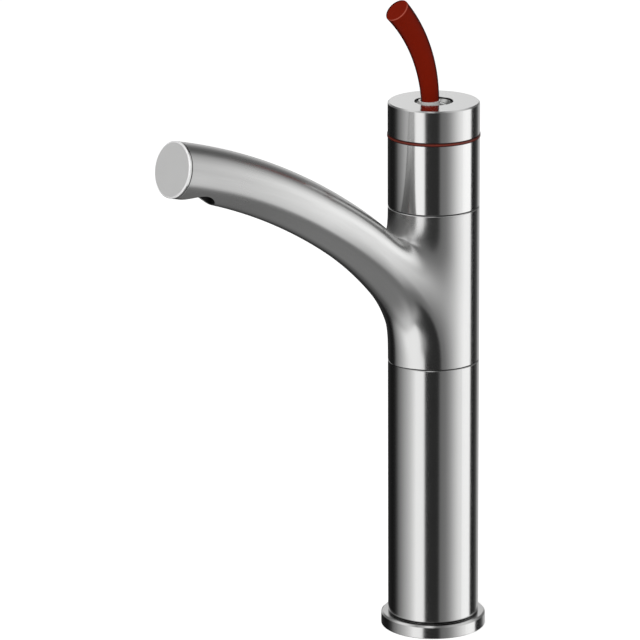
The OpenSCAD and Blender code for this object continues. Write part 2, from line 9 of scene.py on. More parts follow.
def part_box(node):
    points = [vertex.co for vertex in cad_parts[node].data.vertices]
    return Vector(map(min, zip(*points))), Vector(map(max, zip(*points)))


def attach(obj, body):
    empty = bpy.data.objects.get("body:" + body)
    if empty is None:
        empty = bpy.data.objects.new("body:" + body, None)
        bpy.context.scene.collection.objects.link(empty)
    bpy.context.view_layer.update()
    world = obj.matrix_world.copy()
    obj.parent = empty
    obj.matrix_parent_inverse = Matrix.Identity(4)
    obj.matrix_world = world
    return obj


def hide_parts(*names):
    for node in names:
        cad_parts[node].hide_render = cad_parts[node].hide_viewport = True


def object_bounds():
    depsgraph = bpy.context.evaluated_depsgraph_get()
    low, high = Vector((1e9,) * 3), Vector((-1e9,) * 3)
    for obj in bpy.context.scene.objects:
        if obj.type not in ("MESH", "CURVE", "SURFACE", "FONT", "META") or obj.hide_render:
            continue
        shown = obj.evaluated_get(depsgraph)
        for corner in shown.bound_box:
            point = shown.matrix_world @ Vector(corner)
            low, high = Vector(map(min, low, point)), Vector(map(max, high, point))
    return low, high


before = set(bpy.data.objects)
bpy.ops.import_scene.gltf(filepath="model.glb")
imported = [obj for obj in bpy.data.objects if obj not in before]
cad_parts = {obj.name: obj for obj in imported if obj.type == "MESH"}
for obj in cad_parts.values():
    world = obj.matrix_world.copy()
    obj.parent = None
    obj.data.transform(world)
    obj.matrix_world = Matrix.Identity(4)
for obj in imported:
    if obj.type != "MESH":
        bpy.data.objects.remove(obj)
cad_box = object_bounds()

# The camera stands 2.6 m away with a long lens, a little above the tap, and the
# spout points past its left side.
aim_point = Vector((-0.0359, -0.0476, 0.1684))
view_azimuth = math.radians(52.695)
view_elevation = math.radians(16.286)
view_roll = math.radians(-0.295)
view_distance = 2.601
camera_data = bpy.data.cameras.new("camera")
camera_data.lens = 278.5
camera_data.sensor_width = 36.0
camera_data.clip_end = 50.0
camera = bpy.data.objects.new("camera", camera_data)
towards_camera = Vector((
    math.sin(view_azimuth) * math.cos(view_elevation),
    -math.cos(view_azimuth) * math.cos(view_elevation),
    math.sin(view_elevation),
))
camera.location = aim_point + view_distance * towards_camera
level_view = (-towards_camera).to_track_quat("-Z", "Y")
camera.rotation_euler = (level_view @ Quaternion((0, 0, 1), view_roll)).to_euler()
bpy.context.collection.objects.link(camera)
bpy.context.scene.camera = camera
bpy.context.scene.view_settings.view_transform = "Standard"

# The studio is a white tent with dark boards stood between its light panels, which
# give the polished column its upright stripes. Bearings are in degrees to the right
# of the camera's side, and a brightness of 1 is a white panel.

# These were read off the reflections in the photo by scratch programs, then changed
# over many renders.
level_panels = [
    (-180, 0.06), (-165, 0.03), (-135, 0.009), (-118, 0.012), (-108, 0.05), (-100, 0.16),
    (-90, 0.26), (-80, 0.38), (-70, 0.5), (-60, 0.66), (-52, 0.84), (-46, 1.0), (-25, 1.0),
    (-22, 0.03), (9, 0.022), (13, 0.04), (15, 0.15), (30, 0.2), (40, 0.32), (50, 0.5),
    (60, 0.7), (72, 0.9), (85, 1.08), (105, 1.1), (107.5, 0.03), (118, 0.012), (130, 0.04),
    (140, 0.12), (150, 0.45), (170, 0.5), (180, 0.06),
]
low_panels = [
    (-180, 0.15), (-160, 0.1), (-140, 0.07), (-120, 0.075), (-100, 0.16), (-80, 0.39),
    (-60, 0.58), (-40, 0.66), (-20, 0.62), (-5, 0.4), (8, 0.2), (20, 0.17), (100, 0.2),
    (150, 0.16), (180, 0.15),
]
high_panels = [
    (-180, 0.9), (-158, 0.6), (-142, 0.2), (-125, 0.1), (-110, 0.05), (-85, 0.05), (-76, 0.2),
    (-62, 0.4), (-50, 0.85), (-35, 0.85), (-27, 0.12), (0, 0.14), (20, 0.17), (40, 0.25),
    (60, 0.42), (80, 0.86), (90, 1.1), (100, 1.04), (111, 0.7), (121, 0.25), (135, 0.14),
    (150, 0.2), (163, 0.55), (180, 0.9),
]
roof_panels = [
    (-180, 0.1), (-135, 0.12), (-118, 0.25), (-102, 0.8), (-86, 0.8), (-68, 0.4), (-40, 0.4),
    (-26, 0.85), (-5, 0.75), (8, 0.14), (40, 0.16), (75, 0.5), (95, 0.7), (112, 0.6),
    (130, 0.12), (180, 0.1),
]
floor_brightness = 0.2
skylight_brightness = 0.12
diffuse_brightness = 0.42


def put(tree, kind, feeds=(), **settings):
    """Adds a node with its settings, its sockets fed from numbers or other nodes."""
    node = tree.nodes.new("ShaderNode" + kind)
    for key, value in settings.items():
        setattr(node, key, value)
    for socket, source in dict(feeds).items():
        if isinstance(source, bpy.types.NodeSocket):
            tree.links.new(source, node.inputs[socket])
        else:
            node.inputs[socket].default_value = source
    return node


def sum_of(tree, operation, *values):
    """A Math node's result."""
    return put(tree, "Math", dict(enumerate(values)), operation=operation).outputs[0]


def fade(tree, value, start, end):
    """0 before start, 1 after end, and smooth between."""
    node = put(tree, "MapRange", {"Value": value, "From Min": start, "From Max": end},
               interpolation_type="SMOOTHSTEP")
    return node.outputs["Result"]


def blend_of(tree, share, first, second):
    """Two colours mixed by a share."""
    return put(tree, "Mix", {0: share, 6: first, 7: second}, data_type="RGBA").outputs[2]


def grey(brightness):
    """A colour with as much red as green and blue."""
    return (brightness, brightness, brightness, 1.0)


def axes_of(tree, vector):
    """A vector's share on each axis, by the axis's name."""
    return put(tree, "SeparateXYZ", {0: vector}).outputs


def ring_of_panels(tree, bearing_share, panels):
    """The brightness all round the tap at one height."""
    node = put(tree, "ValToRGB", {"Fac": bearing_share})
    ramp = node.color_ramp
    while len(ramp.elements) > 1:
        ramp.elements.remove(ramp.elements[-1])
    for count, (bearing, brightness) in enumerate(panels):
        place = bearing / 360 + 0.5
        stop = ramp.elements[0] if count == 0 else ramp.elements.new(place)
        stop.position = place
        stop.color = grey(brightness)
    return node.outputs["Color"]


studio = bpy.data.worlds.new("studio")
bpy.context.scene.world = studio
studio.use_nodes = True
tree = studio.node_tree
tree.nodes.clear()
direction = put(tree, "TexCoord").outputs["Generated"]
turned = put(tree, "VectorRotate", {"Vector": direction, "Angle": -view_azimuth},
             rotation_type="Z_AXIS").outputs[0]
axes = axes_of(tree, turned)
bearing = sum_of(tree, "ARCTAN2", axes["X"], sum_of(tree, "MULTIPLY", axes["Y"], -1.0))
bearing_share = sum_of(tree, "MULTIPLY_ADD", bearing, 0.5 / math.pi, 0.5)
height = sum_of(tree, "ARCSINE", axes["Z"])

# From the level outwards, each band of the tent takes over from the one before,
# between two heights in degrees
tent = ring_of_panels(tree, bearing_share, level_panels)
for start, end, band in (
    (-43, -52, ring_of_panels(tree, bearing_share, low_panels)),
    (-52, -70, grey(floor_brightness)),
    (-12, 5, ring_of_panels(tree, bearing_share, high_panels)),
    (8, 38, ring_of_panels(tree, bearing_share, roof_panels)),
    (72, 82, grey(skylight_brightness)),
):
    tent = blend_of(tree, fade(tree, height, math.radians(start), math.radians(end)), tent, band)

# Matt surfaces get an even light, and the camera sees plain white behind the tap
rays = put(tree, "LightPath").outputs
seen = blend_of(tree, rays["Is Diffuse Ray"], tent, grey(diffuse_brightness))
seen = blend_of(tree, rays["Is Camera Ray"], seen, grey(1.0))
background = put(tree, "Background", {"Color": seen, "Strength": 1.0}).outputs[0]
put(tree, "OutputWorld", {"Surface": background})

# The floor is a plain pale sheet. It keeps the tap's soft shadow and stays out of
# the metal, which shows the tent instead.
floor_half, floor_drop = 3.0, 0.0002
paper_white, paper_glow = 0.8, 0.6
corners = [(x * floor_half, y * floor_half, 0) for x, y in ((-1, -1), (1, -1), (1, 1), (-1, 1))]
floor_data = bpy.data.meshes.new("floor")
floor_data.from_pydata(corners, [], [(0, 1, 2, 3)])
floor = bpy.data.objects.new("floor", floor_data)
floor.location = (0, 0, cad_box[0][2] - floor_drop)
bpy.context.collection.objects.link(floor)
floor.visible_glossy = False
paper = bpy.data.materials.new("pale_paper")
paper.use_nodes = True
tree = paper.node_tree
tree.nodes.clear()
sheet = put(tree, "BsdfDiffuse", {"Color": grey(paper_white)}).outputs[0]
glow = put(tree, "Emission", {"Color": grey(1.0), "Strength": paper_glow}).outputs[0]
both = put(tree, "AddShader", {0: sheet, 1: glow}).outputs[0]
rays = put(tree, "LightPath").outputs
seen = put(tree, "MixShader", {0: rays["Is Camera Ray"], 1: sheet, 2: both}).outputs[0]
put(tree, "OutputMaterial", {"Surface": seen})
floor_data.materials.append(paper)

# Two broad lamps, one in front and one above, light what doesn't shine like metal:
# the lever, the plastic rings and the sheet under the tap.
lamp_aim = Vector((0, -0.04, 0.17))
lamp_distance = 2.4


def soft_lamp(name, bearing, rise, size, power):
    """A broad square lamp, aimed at the tap, that leaves the stripes to the tent."""
    data = bpy.data.lights.new(name, "AREA")
    data.shape = "SQUARE"
    data.size = size
    data.energy = power
    lamp = bpy.data.objects.new(name, data)
    turn = view_azimuth + math.radians(bearing)
    lift = math.radians(rise)
    flat = math.cos(lift)
    away = Vector((math.sin(turn) * flat, -math.cos(turn) * flat, math.sin(lift)))
    lamp.location = lamp_aim + lamp_distance * away
    lamp.rotation_euler = (-away).to_track_quat("-Z", "Y").to_euler()
    lamp.visible_camera = False
    lamp.visible_glossy = False
    bpy.context.collection.objects.link(lamp)


soft_lamp("front_lamp", -10, 25, 1.6, 26)
soft_lamp("top_lamp", -40, 75, 2.0, 14)

# The foot is a low ring, turned from stainless bar. The column is a plain stainless
# tube pressed into it. Both are ground round, which leaves the upright stripes of the
# studio clear but a little soft.
steel_colour = (0.80, 0.80, 0.795, 1.0)


def new_effect(name, feeds, results):
    """An empty shader group with named inputs and outputs."""
    group = bpy.data.node_groups.new(name, "ShaderNodeTree")
    for socket_name, kind, start in feeds:
        socket = group.interface.new_socket(
            socket_name, in_out="INPUT", socket_type="NodeSocket" + kind)
        socket.default_value = start
    for socket_name, kind in results:
        group.interface.new_socket(
            socket_name, in_out="OUTPUT", socket_type="NodeSocket" + kind)
    feed = group.nodes.new("NodeGroupInput").outputs
    result = group.nodes.new("NodeGroupOutput").inputs
    return group, feed, result


def vector_of(tree, operation, first, second=None):
    """A Vector Math node's result, a vector or a number as the operation has it."""
    feeds = {0: first}
    if second is not None:
        feeds[3 if operation == "SCALE" else 1] = second
    node = put(tree, "VectorMath", feeds, operation=operation)
    return node.outputs["Value" if operation in ("LENGTH", "DISTANCE", "DOT_PRODUCT") else "Vector"]


def place_of(tree):
    """The place of a point on the piece, from the tap's origin."""
    return put(tree, "TexCoord").outputs["Object"]


def flat_of(tree, axes):
    """The first two shares of a vector, without the third."""
    return put(tree, "CombineXYZ", {0: axes["X"], 1: axes["Y"]}).outputs[0]


def noise(tree, vector, scale):
    """A soft random value between 0 and 1."""
    return put(tree, "TexNoise", {"Vector": vector, "Scale": scale, "Detail": 3.0}).outputs[0]


def spread_about(tree, value, middle, spread):
    """A value between 0 and 1, turned into one that strays by a share about a middle."""
    swing = sum_of(tree, "MULTIPLY_ADD", value, 2.0, -1.0)
    return sum_of(tree, "MULTIPLY", middle, sum_of(tree, "MULTIPLY_ADD", swing, spread, 1.0))


def mixed(tree, first, second, second_share):
    """Two values mixed, the second by a share."""
    second = sum_of(tree, "MULTIPLY", second, second_share)
    return sum_of(tree, "MULTIPLY_ADD", first, 1 - second_share, second)


def finish_marks(group, shade, feed, result, height):
    """Puts a shade into a group's colour and roughness, and its lines into the height."""
    tone = spread_about(group, shade, 1.0, feed["Color Spread"])
    rough = spread_about(group, shade, feed["Roughness"], feed["Roughness Spread"])
    group.links.new(vector_of(group, "SCALE", feed["Color"], tone), result["Color"])
    group.links.new(rough, result["Roughness"])
    group.links.new(height, result["Height"])


# Turning and grinding leave fine lines that run round the tap's axis, on its walls
# and its flat faces alike, with faint cloudy patches over them.
lathe_lines, feed, result = new_effect(
    "lathe_lines",
    [("Color", "Color", steel_colour), ("Color Spread", "Float", 0.04),
     ("Line Width", "Float", 0.0002),
     ("Roughness", "Float", 0.17), ("Roughness Spread", "Float", 0.2)],
    [("Color", "Color"), ("Roughness", "Float"), ("Height", "Float")],
)
line_waver, cloud_scale, cloud_share = 0.02, 70.0, 0.5
at = place_of(lathe_lines)
axes = axes_of(lathe_lines, at)
flat_at = flat_of(lathe_lines, axes)
out_r = vector_of(lathe_lines, "LENGTH", flat_at)
across = put(lathe_lines, "CombineXYZ", {0: out_r, 2: axes["Z"]}).outputs[0]
waver = vector_of(lathe_lines, "SCALE", flat_at, line_waver)
line_at = vector_of(lathe_lines, "ADD", across, waver)
lines = noise(lathe_lines, line_at, sum_of(lathe_lines, "DIVIDE", 1.0, feed["Line Width"]))
clouds = noise(lathe_lines, at, cloud_scale)
shade = mixed(lathe_lines, lines, clouds, cloud_share)
finish_marks(lathe_lines, shade, feed, result, lines)


def new_material(name, metallic=0.0, **plain):
    """A bare material: its tree and its shader, with what is the same all over set."""
    material = bpy.data.materials.new(name)
    material.use_nodes = True
    tree = material.node_tree
    shader = tree.nodes["Principled BSDF"].inputs
    shader["Metallic"].default_value = metallic
    for socket, value in plain.items():
        shader[socket.replace("_", " ")].default_value = value
    return material, tree, shader


def use_effect(tree, effect, **values):
    """Places a group in a material with its own values."""
    node = put(tree, "Group", node_tree=effect)
    for socket, value in values.items():
        node.inputs[socket.replace("_", " ")].default_value = value
    return node.outputs


def put_on(tree, shader, colour, roughness, height, depth):
    """Feeds a finish into the shader: its colour, its roughness and its relief."""
    bump = put(tree, "Bump", {"Height": height, "Distance": depth, "Strength": 1.0})
    tree.links.new(colour, shader["Base Color"])
    tree.links.new(roughness, shader["Roughness"])
    tree.links.new(bump.outputs[0], shader["Normal"])


def even_finish(name, effect, colour, roughness, depth, metallic, **look):
    """A material with one effect all over."""
    material, tree, shader = new_material(name, metallic=metallic)
    marks = use_effect(tree, effect, Color=(*colour[:3], 1.0), Roughness=roughness, **look)
    put_on(tree, shader, marks["Color"], marks["Roughness"], marks["Height"], depth)
    return material


def turned_metal(name, colour, roughness, depth, metallic=1.0, **look):
    """A metal with lathe lines round the tap's axis."""
    return even_finish(name, lathe_lines, colour, roughness, depth, metallic, **look)


def give(material, *nodes):
    """Gives CAD nodes their finish."""
    for node in nodes:
        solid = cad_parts[node]
        for held in solid.material_slots:
            held.material = material
        if not solid.material_slots:
            solid.data.materials.append(material)


# The column's colour is dark in a thin line just above the foot, where it stands on the foot.
foot_joint_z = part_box("base_flange")[1][2]
foot_line_begins, foot_line_ends = (0.00001, 0.00004), (0.0013, 0.0007)
foot_line_colour = grey(0.02)
ground_steel, tree, shader = new_material("ground_steel", metallic=1.0)
marks = use_effect(tree, lathe_lines, Color=steel_colour, Roughness=0.16)
axes = axes_of(tree, place_of(tree))
above_joint = sum_of(tree, "SUBTRACT", axes["Z"], foot_joint_z)
foot_line_share = sum_of(tree, "MULTIPLY", fade(tree, above_joint, *foot_line_begins),
                      fade(tree, above_joint, *foot_line_ends))
steel = blend_of(tree, foot_line_share, marks["Color"], foot_line_colour)
put_on(tree, shader, steel, marks["Roughness"], marks["Height"], depth=0.000002)
give(ground_steel, "base_flange", "lower_column")

# The deck gasket is a moulded ring of black rubber, laid in the foot's underside,
# where it seals the worktop. Its skin has the fine grain of the mould.
grain, feed, result = new_effect(
    "grain",
    [("Color", "Color", grey(0.5)), ("Color Spread", "Float", 0.1),
     ("Grain Size", "Float", 0.0004), ("Stretch", "Vector", (1.0, 1.0, 1.0)),
     ("Roughness", "Float", 0.5), ("Roughness Spread", "Float", 0.1)],
    [("Color", "Color"), ("Roughness", "Float"), ("Height", "Float")],
)
stain_scale, stain_share = 60.0, 0.4
stretched = vector_of(grain, "MULTIPLY", place_of(grain), feed["Stretch"])
spots = noise(grain, stretched, sum_of(grain, "DIVIDE", 1.0, feed["Grain Size"]))
stains = noise(grain, stretched, stain_scale)
finish_marks(grain, mixed(grain, spots, stains, stain_share), feed, result, spots)


def grained(name, colour, roughness, depth, metallic=0.0, **look):
    """A stuff with an even grain, or with drawn lines where the grain is stretched."""
    return even_finish(name, grain, colour, roughness, depth, metallic, **look)


black_rubber = grained("black_rubber", grey(0.02), roughness=0.7, depth=0.00002,
                       Color_Spread=0.25)
give(black_rubber, "deck_gasket")

# The base insert is turned from brass bar and screwed into the column's foot. It
# holds the fixing stud and both hose sockets.
turned_brass = turned_metal("turned_brass", (0.80, 0.60, 0.28), roughness=0.3, depth=0.000003,
                            Color_Spread=0.08, Line_Width=0.0003)
give(turned_brass, "base_insert")

# Two thin copper tubes lead hot and cold water up the column. They are drawn, so
# their marks run lengthwise, and they are brazed into the insert and the valve body.
drawn_copper = grained("drawn_copper", (0.86, 0.46, 0.30), roughness=0.28, depth=0.000004,
                       metallic=1.0, Stretch=(1.0, 1.0, 0.02), Color_Spread=0.12)
give(drawn_copper, "supply_tube_hot", "supply_tube_cold")

# The column head closes the column, and the valve body stands on it. Both are turned
# brass, and the body's ducts are drilled.
give(turned_brass, "column_head", "valve_body")

# A hardened steel pin in the valve body runs in a slot of the spout's ring and
# limits how far the spout swings.
drawn_steel = grained("drawn_steel", (0.56, 0.56, 0.57), roughness=0.3, depth=0.000003,
                      metallic=1.0, Stretch=(1.0, 1.0, 0.05), Color_Spread=0.06)
give(drawn_steel, "swivel_stop_pin")

# Two moulded rubber rings seal the water chamber between spout and valve body. They
# lie in grooves turned in the body, and the spout's ring slides over them.
give(black_rubber, "lower_swivel_seal", "upper_swivel_seal")

# The ring of the spout slides between two turned rings of dark acetal. Their edges
# show as the thin dark joint lines on the column.
dark_acetal = grained("dark_acetal", (0.027, 0.027, 0.028), roughness=0.45, depth=0.000004,
                      Color_Spread=0.2)
give(dark_acetal, "lower_slide_ring", "upper_slide_ring")

# The spout is one brazed and ground piece: a ring that turns on the column, and a
# tube bent in three arcs that grows out of it. The tube's root is pressed wide, and
# the seam is filled and ground to a hollow, tight in the crotch and wide at the flanks.
column_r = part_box("lower_column")[1][0]
ring_low_z, ring_high_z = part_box("spout_ring")[0][2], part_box("spout_ring")[1][2]
ring_bore_r = 0.01905
ring_bevel = 0.0003
tube_r = 0.0145
tube_seat_r = 0.0123
tube_seat_depth = 0.0051
tube_edge = 0.00015
tube_root = np.array([0.0, -0.0092, 0.1477])
tube_arcs = [(0.075, math.radians(41)), (0.2, math.radians(14)), (0.31, math.radians(20.8))]
tube_root_flare = 0.22
flare_ends_at = (0.04, 0.12)
flare_squareness = (0.66, -0.18)

# How far the hollow reaches from the tube's wall and from the ring's, in even steps
# of bearing from the belly, under the tube, to the crotch on top of it. A scratch
# program fitted both rows and the roundness to the photo.
hollow_from_tube = (0.00573, 0.00491, 0.00165, 0.00528, 0.00995, 0.01667, 0.01127)
hollow_from_ring = (0.00858, 0.00338, 0.00585, 0.02305, 0.01966, 0.00734, 0.00358)
hollow_roundness = 2.74
ground_depth_scale = 0.01
outlet_r = 0.0105
outlet_rim = 0.0004
outlet_from_end = 0.016
outlet_depth_z = 0.001


def along_tube(arc_length):
    """The tube's centre and its lean from upright at a length from the root."""
    centre, lean = tube_root.copy(), 0.0
    for bend_r, bend_angle in tube_arcs:
        turn = arc_length / bend_r
        if (bend_r, bend_angle) != tube_arcs[-1]:
            turn = min(turn, bend_angle)
        step = np.array([0.0, -bend_r * (1 - math.cos(turn)), bend_r * math.sin(turn)])
        c, s = math.cos(lean), math.sin(lean)
        centre = centre + np.array([0.0, step[1] * c - step[2] * s, step[1] * s + step[2] * c])
        lean += turn
        arc_length -= bend_r * bend_angle
        if arc_length <= 0:
            break
    return centre, lean


def tube_side(lean, around):
    """The outward direction of the tube's wall: 0 is +X and 90 degrees is its back."""
    back = math.sin(around)
    return np.array([math.cos(around), back * math.cos(lean), back * math.sin(lean)])


def tube_wall(arc_length, around, r=tube_r):
    """A point of the tube's wall."""
    centre, lean = along_tube(arc_length)
    return centre + r * tube_side(lean, around)


tube_length = sum(bend_r * bend_angle for bend_r, bend_angle in tube_arcs)


def seam_at(around):
    """Where a line along the tube's wall comes out of the ring, and how far along."""
    near, far = 0.0, tube_length
    for _ in range(40):
        middle = (near + far) / 2
        point = tube_wall(middle, around)
        if math.hypot(point[0], point[1]) > column_r:
            far = middle
        else:
            near = middle
    return point, middle


def bearing_spline(values, bearing):
    """A smooth run through even steps from -90 to 90 degrees, level at both ends."""
    values, last = np.array(values), len(values) - 1
    rows, wanted = np.eye(last + 1), np.zeros(last + 1)
    for k in range(1, last):
        rows[k, k - 1:k + 2] = 1, 4, 1
        wanted[k] = 3 * (values[k + 1] - values[k - 1])
    slopes = np.linalg.solve(rows, wanted)
    place = (bearing / math.pi + 0.5) * last
    k = np.clip(place.astype(int), 0, last - 1)
    t = place - k
    return (values[k] * (1 + 2 * t) * (1 - t) ** 2 + slopes[k] * t * (1 - t) ** 2
            + values[k + 1] * t * t * (3 - 2 * t) + slopes[k + 1] * t * t * (t - 1))


def tube_place(points):
    """Length along the tube's centre line, and height over it, for many points."""
    y, z = points[..., 1], points[..., 2]
    length, height = z - tube_root[2], y - tube_root[1]
    begin, lean, so_far = tube_root, 0.0, 0.0
    for bend_r, bend_angle in tube_arcs:
        mid_y, mid_z = begin[1] - bend_r * math.cos(lean), begin[2] - bend_r * math.sin(lean)
        turn = np.arctan2(z - mid_z, y - mid_y) - lean
        length = np.where(turn > 0, so_far + bend_r * turn, length)
        height = np.where(turn > 0, np.hypot(y - mid_y, z - mid_z) - bend_r, height)
        lean += bend_angle
        so_far += bend_r * bend_angle
        begin = (0.0, mid_y + bend_r * math.cos(lean), mid_z + bend_r * math.sin(lean))
    return length, height


def smooth_share(share):
    """A share held between 0 and 1, with a soft start and end."""
    share = np.clip(share, 0, 1)
    return share * share * (3 - 2 * share)


def power_sum(first, second, power, least):
    """The length of two sides joined more squarely than by a circle."""
    return (first ** power + second ** power + least) ** (1 / power)


def ground_depth(points):
    """Zero on the ground surface of ring, hollow and tube, more outside it."""
    length, height = tube_place(points)
    side = np.abs(points[..., 0])
    flare_begins, flare_over = flare_ends_at
    flare = 1 - smooth_share((length - flare_begins) / (flare_over - flare_begins))
    half_width = tube_r * (1 + tube_root_flare * flare)
    power = 2 + flare * np.where(height > 0, flare_squareness[0], flare_squareness[1])
    share = power_sum(side / half_width + 1e-9, np.abs(height) / tube_r + 1e-9, power, 0)
    off_ring = np.hypot(points[..., 0], points[..., 1]) - column_r
    off_tube = (share - 1) * tube_r
    bearing = np.arctan2(height, side)
    near_ring = np.maximum(1 - off_ring / bearing_spline(hollow_from_ring, bearing), 0)
    near_tube = np.maximum(1 - off_tube / bearing_spline(hollow_from_tube, bearing), 0)
    return ground_depth_scale * (1 - power_sum(near_ring, near_tube, hollow_roundness, 1e-12))


def grind(points, passes, level=False):
    """Moves points straight out or in until they lie on the ground surface."""
    feel, longest_move = 0.00005, 0.0006
    for _ in range(passes):
        depth = ground_depth(points)
        slope = [(ground_depth(points + step) - depth) / feel for step in np.eye(3) * feel]
        slope = np.stack(slope, -1)
        if level:
            outward = points * (1, 1, 0) / np.hypot(points[..., 0], points[..., 1])[..., None]
            slope = outward * (slope * outward).sum(-1, keepdims=True)
        move = -(depth / ((slope ** 2).sum(-1) + 1e-9))[..., None] * slope
        far = np.linalg.norm(move, axis=-1, keepdims=True)
        points = points + move * np.minimum(1, longest_move / (far + 1e-12))
    return points


class Shell:
    """A mesh that grows by loops of points, bridged with four-sided faces."""

    def __init__(self):
        self.points, self.faces = [], []

    def add(self, points):
        """Adds a loop and gives the places of its points."""
        first = len(self.points)
        self.points.extend(tuple(p) for p in points)
        return list(range(first, len(self.points)))

    def bridge(self, low, high, closed=True):
        """Joins two loops, and leaves out faces that would have no width."""
        count = len(low) if closed else len(low) - 1
        for k in range(count):
            n = (k + 1) % len(low)
            if len({low[k], low[n], high[n], high[k]}) == 4:
                self.faces.append((low[k], low[n], high[n], high[k]))

    def grow(self, previous, points):
        """Adds a loop that is joined to the one before."""
        loop = self.add(points)
        self.bridge(previous, loop)
        return loop

    def mesh(self, name, sharp_angle):
        """Makes the piece, smooth but for edges sharper than the angle."""
        data = bpy.data.meshes.new(name)
        data.from_pydata(self.points, [], self.faces)
        piece = bpy.data.objects.new(name, data)
        bpy.context.collection.objects.link(piece)
        for polygon in data.polygons:
            polygon.use_smooth = True
        data.set_sharp_from_angle(angle=sharp_angle)
        return piece


def frame_loop(across, up):
    """A rectangle's border as (column, row) steps, once round."""
    return ([(i, 0) for i in range(across)] + [(across, j) for j in range(up)]
            + [(i, up) for i in range(across, 0, -1)] + [(0, j) for j in range(up, 0, -1)])


# The spout's skin starts as a patch on the ring's front. Its border is drawn in to
# the seam, and from there on along the tube.
spout_shell = Shell()
patch_half_angle, ground_fade_angle = math.radians(100), math.radians(18)
patch_columns, patch_rows = 80, 36
low_z, high_z = ring_low_z + ring_bevel, ring_high_z - ring_bevel
patch_height = high_z - low_z
full_turn = 2 * math.pi


def ring_wall(angle, z, r=column_r):
    """A point of the ring's wall, at an angle from the spout's side."""
    return np.array([r * math.sin(angle), -r * math.cos(angle), z])


# The seam on the ring, first as a dense table so that each border point can find
# the part of the seam that faces it
seam_table = []
for around in np.linspace(-math.pi, math.pi, 721):
    point = seam_at(around)[0]
    seam_table.append((around, math.atan2(point[0], -point[1]), point[2]))
table_around, table_angle, table_z = np.array(seam_table).T
seam_middle_z = (table_z.min() + table_z.max()) / 2
facing = np.unwrap(np.arctan2(table_z - seam_middle_z, table_angle * column_r))
border = frame_loop(patch_columns, patch_rows)
border_angle = np.array([patch_half_angle * (2 * i / patch_columns - 1) for i, j in border])
border_z = np.array([low_z + patch_height * j / patch_rows for i, j in border])
wanted = np.arctan2(border_z - seam_middle_z, border_angle * column_r)
wanted = (wanted - facing.min()) % full_turn + facing.min()
around_steps = np.interp(wanted, facing, table_around)
seams = [seam_at(around) for around in around_steps]
seam_angle = np.array([math.atan2(point[0], -point[1]) for point, length in seams])
seam_z = np.array([point[2] for point, length in seams])
seam_length = np.array([length for point, length in seams])

# Rows of points from the border in to the seam and on along the tube
outlet_at = tube_length - outlet_from_end
window_half_length = 0.0135
window_start, window_end = outlet_at - window_half_length, outlet_at + window_half_length
wall_rows, slanted_rows, plain_rows = 24, 80, 20
rows_left_out_at_seam = 3
wall_crowding, tube_crowding = 1.3, 1.1
rows = []
for row in range(wall_rows - 1):
    share = 1 - (1 - row / wall_rows) ** wall_crowding
    angles = border_angle + (seam_angle - border_angle) * share
    heights = border_z + (seam_z - border_z) * share
    rows.append([ring_wall(a, z) for a, z in zip(angles, heights)])
for row in range(rows_left_out_at_seam, slanted_rows + 1):
    share = (row / slanted_rows) ** tube_crowding
    lengths = seam_length + (window_start - seam_length) * share
    rows.append([tube_wall(s, a) for s, a in zip(lengths, around_steps)])

# They are ground to the surface, and evened out along it. The grinding fades out
# at the sides of the ring, and the tube beyond is left round.
first_passes, border_passes, evening_rounds, last_passes = 50, 12, 40, 3
ground = grind(np.array(rows), first_passes)
ground[0] = grind(np.array(rows[0]), border_passes, level=True)
evening = np.linspace(1, 0, len(ground) - 2)[:, None, None] ** 0.5
for _ in range(evening_rounds):
    beside = np.roll(ground, 1, 1)[1:-1] + np.roll(ground, -1, 1)[1:-1]
    middle = (ground[:-2] + ground[2:] + beside) / 4
    ground[1:-1] += 0.5 * evening * (middle - ground[1:-1])
    ground[1:] = grind(ground[1:], 1)
ground[1:] = grind(ground[1:], last_passes)
out_r = np.hypot(ground[..., 0], ground[..., 1])
from_sides = patch_half_angle - np.abs(np.arctan2(ground[..., 0], -ground[..., 1]))
kept = smooth_share(from_sides / ground_fade_angle)
ground[..., :2] *= ((column_r + (out_r - column_r) * kept) / out_r)[..., None]
border_loop = previous = spout_shell.add(ground[0])
for row in ground[1:]:
    previous = spout_shell.grow(previous, row)


def half_turned(angle):
    """An angle brought to within half a turn of zero."""
    return (angle + math.pi) % full_turn - math.pi


# Round the outlet a window stays open in the tube's wall
window_half_angle = math.radians(65)
under = [half_turned(a + math.pi / 2) for a in around_steps]
in_window = [abs(a) < window_half_angle for a in under]
first_in = next(k for k in range(len(border)) if in_window[k] and not in_window[k - 1])
last_in = first_in + sum(in_window) - 1
window_columns = [k % len(border) for k in range(first_in, last_in + 1)]
outside_columns = [k % len(border) for k in range(last_in, first_in + len(border) + 1)]
window_grid = [[previous[k] for k in window_columns]]
for row in range(1, plain_rows + 1):
    length = window_start + (window_end - window_start) * row / plain_rows
    loop = spout_shell.add([tube_wall(length, a) for a in around_steps])
    spout_shell.bridge([previous[k] for k in outside_columns],
                       [loop[k] for k in outside_columns], closed=False)
    window_grid.append([loop[k] for k in window_columns])
    previous = loop

# The window's border, joined to the outlet's rim
rim_border = frame_loop(len(window_columns) - 1, plain_rows)
previous_rim = [window_grid[j][i] for i, j in rim_border]
outlet_centre, outlet_lean = along_tube(outlet_at)
outlet_inward = tube_side(outlet_lean, math.pi / 2)
outlet_forward = np.array([0.0, -math.sin(outlet_lean), math.cos(outlet_lean)])
tip_bend_r = tube_arcs[-1][0]
tip_bend_centre = outlet_centre - tip_bend_r * outlet_inward


def round_outlet(facing, r):
    """A step from the outlet's centre, across its axis."""
    return r * (math.cos(facing) * np.array([1.0, 0, 0]) + math.sin(facing) * outlet_forward)


